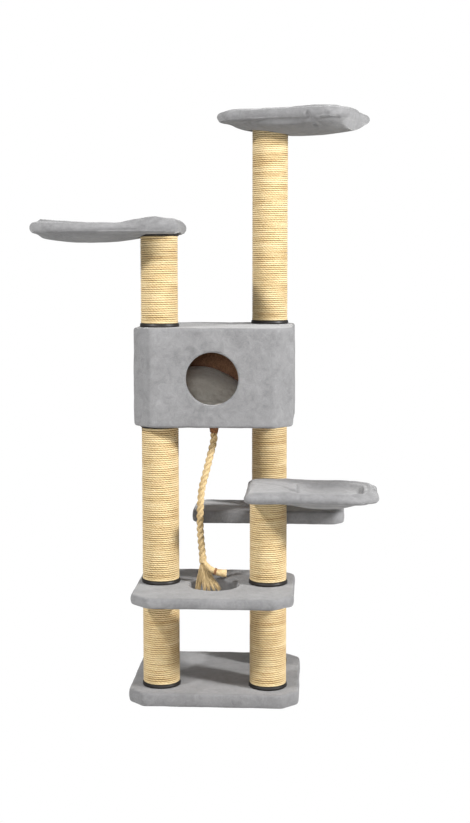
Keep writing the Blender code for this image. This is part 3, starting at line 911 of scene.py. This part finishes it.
def board_outline(low, high, cut, count):
    corners = cut_corners(low[0], high[0], low[1], high[1], cut, cut)
    return rounded_loop(corners, CORNER_ROUND, count)


def edge_loops(outline, bottom, top, rows):
    profile = side_profile(bottom, top, rows)
    return [at_height(inset_loop(outline, inset), height) for inset, height in profile]


def shell_loops(outline, centre, bottom, top, rows, reach):
    """Loops over the outside of a plush shell and back along its inside, both ending in a pole."""
    loops = edge_loops(outline, bottom, top, rows)
    edge = inset_loop(outline, EDGE_ROUND)
    middle = Vector(centre)
    rings = max(4, int(reach / 0.014))
    for k in range(1, rings):
        loops.append(at_height([p.lerp(middle, k / rings) for p in edge], top))
    loops.append([(middle.x, middle.y, top)])
    loops.append([(middle.x, middle.y, top - PLUSH)])
    inner = inset_loop(outline, PLUSH)
    loops.append(at_height(inner, top - PLUSH))
    loops.append(at_height(inner, bottom + PLUSH))
    loops.append(at_height(inset_loop(outline, LIP), bottom + PLUSH))
    return loops


def plush_board(node, cut, finish):
    low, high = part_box(node)
    outline = board_outline(low, high, cut, OUTLINE_POINTS)
    centre = middle_of(node)
    rows = max(3, int((high[2] - low[2]) / 0.010))
    reach = min(high[0] - low[0], high[1] - low[1]) / 2.0
    loops = shell_loops(outline, centre, low[2], high[2], rows, reach)
    mesh = loft_mesh(f"{node}_plush", loops, True)
    ripple(mesh, BOARD_SWELLS)
    keep_above(mesh, low[2])
    piece = add_piece(f"{node}_plush", mesh, finish, "frame", [node])
    subdivide(piece)


def keep_above(mesh, height):
    for vertex in mesh.vertices:
        vertex.co.z = max(vertex.co.z, height)


def holed_board(node, cut, finish):
    """A plush board with a round hole that the plush lines."""
    low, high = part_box(node)
    bottom, top = low[2], high[2]
    outline = board_outline(low, high, cut, OUTLINE_POINTS)
    centre = Vector(ROPE_HOLE_CENTRE)

    def ring(radius):
        return [centre + (p - centre).normalized() * radius for p in outline]

    rows = max(3, int((top - bottom) / 0.010))
    loops = edge_loops(outline, bottom, top, rows)
    edge = inset_loop(outline, EDGE_ROUND)
    brim = ring(ROPE_HOLE_RADIUS + 0.007)
    for k in range(1, 13):
        loops.append(at_height([a.lerp(b, k / 12.0) for a, b in zip(edge, brim)], top))
    for outwards, drop in ((0.0030, 0.0012), (0.0006, 0.0040), (0.0, 0.0080)):
        loops.append(at_height(ring(ROPE_HOLE_RADIUS + outwards), top - drop))
    for k in range(1, 5):
        loops.append(at_height(ring(ROPE_HOLE_RADIUS), top - 0.008 - (top - bottom - 0.010) * k / 4.0))
    for k in range(9):
        turn = math.pi * k / 8.0
        bead = ring(ROPE_HOLE_RADIUS + ROPE_HOLE_BEAD * 0.7 * (1.0 - math.cos(turn)))
        loops.append(at_height(bead, bottom + 0.0005 - ROPE_HOLE_BEAD * math.sin(turn)))
    loops.append(at_height(ring(ROPE_HOLE_RADIUS + PLUSH), bottom + PLUSH))
    loops.append(at_height(ring(ROPE_HOLE_RADIUS + PLUSH), top - PLUSH))
    inner = inset_loop(outline, PLUSH)
    loops.append(at_height(inner, top - PLUSH))
    loops.append(at_height(inner, bottom + PLUSH))
    loops.append(at_height(inset_loop(outline, LIP), bottom + PLUSH))
    mesh = loft_mesh(f"{node}_plush", loops, True)
    ripple(mesh, PLATFORM_SWELLS)
    piece = add_piece(f"{node}_plush", mesh, finish, "frame", [node])
    subdivide(piece)


# ---- house ---------------------------------------------------------------------------------
def house_cover(finish):
    low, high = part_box("house_cover")
    outline = board_outline(low, high, HOUSE_CUT, HOUSE_POINTS)
    centre = middle_of("house_cover")
    loops = shell_loops(outline, centre, low[2], high[2], HOUSE_ROWS, HOUSE_REACH)
    mesh = loft_mesh("house_cover_plush", loops, True)
    ripple(mesh, HOUSE_SWELLS)
    piece = add_piece("house_cover_plush", mesh, finish, "frame", ["house_cover"])
    cut_doorway(piece, centre[0], low[1])
    doorway_lining(finish, centre[0], low[1])


def cut_doorway(piece, x, front):
    tool = bpy.data.objects.new("doorway_tool", tunnel_mesh(x, front))
    bpy.context.scene.collection.objects.link(tool)
    step = piece.modifiers.new("doorway", 'BOOLEAN')
    step.operation = 'DIFFERENCE'
    step.solver = 'EXACT'
    step.object = tool
    cut = settled(piece)
    piece.modifiers.clear()
    piece.data = cut
    bpy.data.objects.remove(tool, do_unlink=True)


def tunnel_mesh(x, front):
    """A short lying cylinder through the plush of the front wall."""
    start, end = front - 0.03, front + 0.012
    loops = [[(x, start, DOOR_HEIGHT)]]
    for depth in (start, end):
        loops.append([
            (x + DOOR_RADIUS * math.cos(2.0 * math.pi * i / DOOR_SIDES), depth,
             DOOR_HEIGHT + DOOR_RADIUS * math.sin(2.0 * math.pi * i / DOOR_SIDES)) for i in range(DOOR_SIDES)
        ])
    loops.append([(x, end, DOOR_HEIGHT)])
    return loft_mesh("doorway_tool", loops, False)


def doorway_lining(finish, x, front):
    """The plush turned in through the doorway, over the edge of the front wall."""
    section = [(0.0016, -0.0006), (0.0004, 0.0002), (0.0, 0.0018)]
    section += [(0.0, 0.0050 + 0.0040 * k) for k in range(3)]
    section += [(0.0, 0.0170), (0.0008, 0.0180), (0.0060, 0.0180), (0.0060, 0.0172), (0.0003, 0.0172)]
    section += [(0.0003, 0.0042), (0.0030, 0.0030), (0.0036, 0.0006)]
    loops = []
    for i in range(DOOR_SIDES):
        angle = 2.0 * math.pi * i / DOOR_SIDES
        out = Vector((math.cos(angle), 0.0, math.sin(angle)))
        loops.append([
            Vector((x, front + deep, DOOR_HEIGHT)) + out * (LINING_RADIUS + wide) for wide, deep in section
        ])
    mesh = loft_mesh("house_doorway_lining", loops, True)
    add_piece("house_doorway_lining", mesh, finish)


def house_cushion(finish):
    """A slack cushion that is heaped against the back left of the cabin."""
    low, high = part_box("house_cushion")
    room = PUFF_ROOM
    corners = cut_corners(low[0] + room, high[0] - room, low[1] + room, high[1] - room, 0.05, 0.05)
    side = rounded_loop(corners, 0.05, 96)
    edge = inset_loop(side, CUSHION_EDGE)
    hump = Vector(CUSHION_HUMP)
    bottom = low[2] + 0.001

    def height(point):
        away = (point - hump).length / CUSHION_HUMP_REACH
        return bottom + CUSHION_HEIGHT - room + CUSHION_HUMP_HEIGHT * max(0.0, 1.0 - away ** 2)

    halfway = [hump.lerp(p, 0.5) for p in edge]
    loops = [[(hump.x, hump.y, bottom)], at_height(halfway, bottom), at_height(edge, bottom)]
    loops.append(at_height(side, bottom + CUSHION_EDGE))
    loops.append([(p.x, p.y, height(p) - CUSHION_EDGE) for p in side])
    for share in (1.0, 0.9, 0.8, 0.7, 0.6, 0.5, 0.4, 0.3, 0.2, 0.1):
        loops.append([(p.x, p.y, height(p)) for p in [hump.lerp(q, share) for q in edge]])
    loops.append([(hump.x, hump.y, height(hump))])
    heap = loft_mesh("house_cushion_soft", loops, False)
    mesh = puffed("house_cushion_soft", heap, CUSHION_VOXEL, CUSHION_PUFF)
    ripple(mesh, CUSHION_SWELLS)
    keep_above(mesh, low[2])
    piece = add_piece("house_cushion_soft", mesh, finish, "frame", ["house_cushion"])
    subdivide(piece)


def puffed(name, mesh, voxel, cap):
    """The mesh remeshed evenly and swollen as filled cloth, no point moving further than cap."""
    pad = bpy.data.objects.new(name, mesh)
    bpy.context.scene.collection.objects.link(pad)
    even = pad.modifiers.new("even", 'REMESH')
    even.mode = 'VOXEL'
    even.voxel_size = voxel
    pad.data = settled(pad)
    pad.modifiers.clear()
    start = [v.co.copy() for v in pad.data.vertices]
    swell = pad.modifiers.new("swell", 'CLOTH')
    swell.settings.quality = CLOTH_QUALITY
    swell.settings.use_pressure = True
    swell.settings.uniform_pressure_force = CLOTH_PRESSURE
    swell.settings.effector_weights.gravity = 0.0
    for step in range(1, CLOTH_FRAMES + 1):
        bpy.context.scene.frame_set(step)
    pad.data = settled(pad)
    pad.modifiers.clear()
    bpy.context.scene.frame_set(1)
    for vertex, place in zip(pad.data.vertices, start):
        move = vertex.co - place
        if move.length > cap:
            vertex.co = place + move * (cap / move.length)
    swollen = pad.data
    bpy.data.objects.remove(pad, do_unlink=True)
    return swollen


def settled(piece):
    """A copy of the piece's mesh as its modifiers leave it."""
    bpy.context.view_layer.update()
    return bpy.data.meshes.new_from_object(piece.evaluated_get(bpy.context.evaluated_depsgraph_get()))


# ---- perches -------------------------------------------------------------------------------
def perch_sling(name, finish):
    """A padded pillow with a rolled rim, hollowed where a cat lies and bellied underneath."""
    shape = PERCHES[name]
    pillow = loft_mesh(f"{name}_sling_plush", pillow_loops(shape), False)
    mesh = puffed(f"{name}_sling_plush", pillow, PAD_VOXEL, PERCH_PUFF)
    ripple(mesh, PERCH_SWELLS)
    lift_crest(mesh, shape)
    press_creases(mesh, shape)
    cover_board(mesh, shape)
    make_post_room(mesh, shape)
    centre = middle_of(f"{shape.post}_sisal")
    turn = Matrix.Rotation(math.radians(shape.facing), 4, 'Z')
    mesh.transform(Matrix.Translation((centre[0], centre[1], 0.0)) @ turn)
    piece = add_piece(f"{name}_sling_plush", mesh, finish, name, [f"{name}_sling"])
    subdivide(piece)


def perch_outline(shape, outwards):
    corners = cut_corners(-shape.behind - outwards, shape.reach + outwards, -shape.half - outwards,
                          shape.half + outwards, shape.near_cut, shape.far_cut)
    return rounded_loop(corners, PILLOW_CORNER, PERCH_POINTS)


def cover_board(mesh, shape):
    """Keep the plush outside the edge of the frame board that it covers."""
    edge = inset_loop(perch_outline(shape, 0.0), BOARD_COVER)
    middle = Vector(((shape.reach - shape.behind) / 2.0, 0.0))
    angles, reaches = reaches_round(edge, middle)
    for vertex in mesh.vertices:
        away = vertex.co.xy - middle
        least = float(np.interp(math.atan2(away.y, away.x), angles, reaches))
        level = vertex.co.z - shape.seat
        if -0.002 < level < 0.015 and least - 0.016 < away.length < least:
            vertex.co.xy = middle + away * (least / away.length)


def pillow_loops(shape):
    """Loops from the middle of the belly round the rolled rim to the middle of the hollow."""
    room = PUFF_ROOM
    outer = perch_outline(shape, PUFF_SHRINK)
    far = shape.reach - FRAME_BORDER
    inner_half = shape.half - FRAME_BORDER
    middle = Vector(((shape.clear + far) / 2.0, 0.0))
    far_corner = shape.far_cut * 0.75
    opening_corners = cut_corners(shape.clear, far, -inner_half, inner_half, OPENING_CORNER, far_corner)
    opening = rays_to(rounded_loop(opening_corners, OPENING_CORNER, PERCH_POINTS), outer, middle)
    rim = shape.seat + shape.rim - room
    under = shape.seat - ROLL_DROP + room
    radius = (rim - under) / 2.0
    belly = shape.belly
    belly_middle = Vector((belly.middle, 0.0))
    lowest_line = inset_loop(outer, radius)

    def underside(point):
        away = ((point.x - belly.middle) / belly.reach) ** 2 + (point.y / belly.half) ** 2
        return under - belly.drop * max(0.0, 1.0 - away) ** belly.power

    loops = [[(belly_middle.x, 0.0, underside(belly_middle))]]
    for k in range(1, 16):
        ring = [belly_middle.lerp(p, k / 16.0) for p in lowest_line]
        loops.append([(p.x, p.y, underside(p)) for p in ring])
    for k in range(ROLL_STEPS + 1):
        turn = math.pi * (k / ROLL_STEPS - 0.5)
        ring = inset_loop(outer, radius * (1.0 - math.cos(turn)))
        loops.append(at_height(ring, under + radius * (1.0 + math.sin(turn))))
    for share, drop in ((0.60, 0.0005), (0.72, 0.0022), (0.84, 0.0055), (0.93, 0.0095)):
        loops.append(at_height([a.lerp(b, share) for a, b in zip(outer, opening)], rim - drop))
    for share in (0.97, 0.93, 0.88, 0.82, 0.75, 0.66, 0.56, 0.45, 0.33, 0.20, 0.09):
        slope = shape.rim * 0.72 * share ** 9
        height = shape.seat + 0.003 - shape.sag * (1.0 - share ** 2) + slope
        loops.append(at_height([middle.lerp(p, share) for p in opening], height))
    loops.append([(middle.x, middle.y, shape.seat + 0.003 - shape.sag)])
    return loops


def lift_crest(mesh, shape):
    """Raise or lower the top of the rim by the crest's places along the perch."""
    places, lifts = zip(*shape.crest)
    for vertex in mesh.vertices:
        share = (vertex.co.z - shape.seat) / shape.rim
        if share > 0.0:
            vertex.co.z += float(np.interp(vertex.co.x, places, lifts)) * min(1.0, share) ** 2


def press_creases(mesh, shape):
    """Press soft creases along short lines into the plush."""
    normals = [v.normal.copy() for v in mesh.vertices]
    for start, end, depth, width in shape.creases:
        start, end = Vector(start), Vector(end)
        start.z += shape.seat
        end.z += shape.seat
        run = end - start
        for vertex, normal in zip(mesh.vertices, normals):
            along = max(0.0, min(1.0, (vertex.co - start).dot(run) / run.length_squared))
            away = (vertex.co - start - run * along).length / width
            if away < 3.0:
                fade = 0.35 + 0.65 * math.sin(math.pi * (0.12 + 0.76 * along))
                vertex.co -= normal * depth * fade * (1.0 - 0.5 * away ** 2) * math.exp(-0.5 * away ** 2)


def make_post_room(mesh, shape):
    """Lift the plush clear of the post that the perch stands on."""
    for vertex in mesh.vertices:
        if vertex.co.xy.length < POST_ROOM_RADIUS:
            vertex.co.z = max(vertex.co.z, shape.seat)


def reaches_round(loop, middle):
    """Angles round the middle and the loop's reach at each, with one more at each end to close it."""
    order = sorted((math.atan2(p.y - middle.y, p.x - middle.x), (p - middle).length) for p in loop)
    angles = [order[-1][0] - 2.0 * math.pi] + [angle for angle, _ in order] + [order[0][0] + 2.0 * math.pi]
    reaches = [order[-1][1]] + [reach for _, reach in order] + [order[0][1]]
    return angles, reaches


def rays_to(loop, guide, middle):
    """The loop's points taken in the order and directions of the guide's points round the middle."""
    angles, reaches = reaches_round(loop, middle)
    taken = []
    for point in guide:
        away = point - middle
        angle = math.atan2(away.y, away.x)
        reach = float(np.interp(angle, angles, reaches))
        taken.append(middle + Vector((math.cos(angle), math.sin(angle))) * reach)
    return taken


# ---- studio --------------------------------------------------------------------------------
def studio():
    floor = bpy.data.meshes.new("studio_floor")
    corners = [(-1.0, -1.0), (1.0, -1.0), (1.0, 1.0), (-1.0, 1.0)]
    floor.from_pydata([(x * FLOOR_REACH, y * FLOOR_REACH, 0.0) for x, y in corners], [], [(0, 1, 2, 3)])
    floor.materials.append(floor_finish())
    ground = bpy.data.objects.new("studio_floor", floor)
    ground.location.z = -0.0005
    bpy.context.scene.collection.objects.link(ground)

    world = bpy.data.worlds.new("studio_world")
    bpy.context.scene.world = world
    world.use_nodes = True
    tree = world.node_tree
    light = tree.nodes["Background"]
    light.inputs["Strength"].default_value = SKY_LIGHT
    light.inputs["Color"].default_value = (1.0, 1.0, 1.0, 1.0)
    backdrop = tree.nodes.new("ShaderNodeBackground")
    backdrop.inputs["Color"].default_value = (1.0, 1.0, 1.0, 1.0)
    path = tree.nodes.new("ShaderNodeLightPath")
    mixed = tree.nodes.new("ShaderNodeMixShader")
    tree.links.new(path.outputs["Is Camera Ray"], mixed.inputs[0])
    tree.links.new(light.outputs[0], mixed.inputs[1])
    tree.links.new(backdrop.outputs[0], mixed.inputs[2])
    tree.links.new(mixed.outputs[0], tree.nodes["World Output"].inputs["Surface"])

    for light_facts in STUDIO_LIGHTS:
        area_light(*light_facts)
    bpy.context.scene.view_settings.view_transform = 'Standard'
    bpy.context.scene.view_settings.look = 'None'


def area_light(name, place, aim, size, power):
    light = bpy.data.lights.new(name, 'AREA')
    light.shape = 'DISK'
    light.size = size
    light.energy = power
    made = bpy.data.objects.new(name, light)
    made.location = place
    made.rotation_euler = (Vector(aim) - Vector(place)).to_track_quat('-Z', 'Y').to_euler()
    bpy.context.scene.collection.objects.link(made)


def dress_frame_nodes(finishes):
    """Give every node of the frame the finish of its material slot."""
    for part in frame["record"]["subparts"]:
        node = frame["nodes"][part["node"]]
        node.data.materials.clear()
        node.data.materials.append(finishes[part["material_slot"]])


finishes = {
    "plush": plush_finish(),
    "sisal": sisal_finish(),
    "rope": rope_finish(),
    "binding": binding_finish(),
    "black_plastic": plastic_finish(),
    "cardboard_tube": cardboard_finish(),
    "board": board_finish(),
    "steel": steel_finish(),
}
camera()
hanging_rope(finishes["rope"], rope_tassel(finishes["rope"], finishes["binding"]))
rope_knot(finishes["binding"])
dress_frame_nodes(finishes)
for part in frame["record"]["subparts"]:
    if part["node"].endswith("_sisal"):
        wound_sisal(part["node"], finishes["sisal"])
    if part["node"].endswith("_ring"):
        post_ring(part["node"], finishes["black_plastic"])
plush_board("base_cover", BASE_CUT, finishes["plush"])
holed_board("platform_cover", PLATFORM_CUT, finishes["plush"])
plush_board("rear_shelf_cover", SHELF_CUT, finishes["plush"])
house_cover(finishes["plush"])
house_cushion(cushion_finish())
for perch_name in PERCHES:
    perch_sling(perch_name, finishes["plush"])
studio()
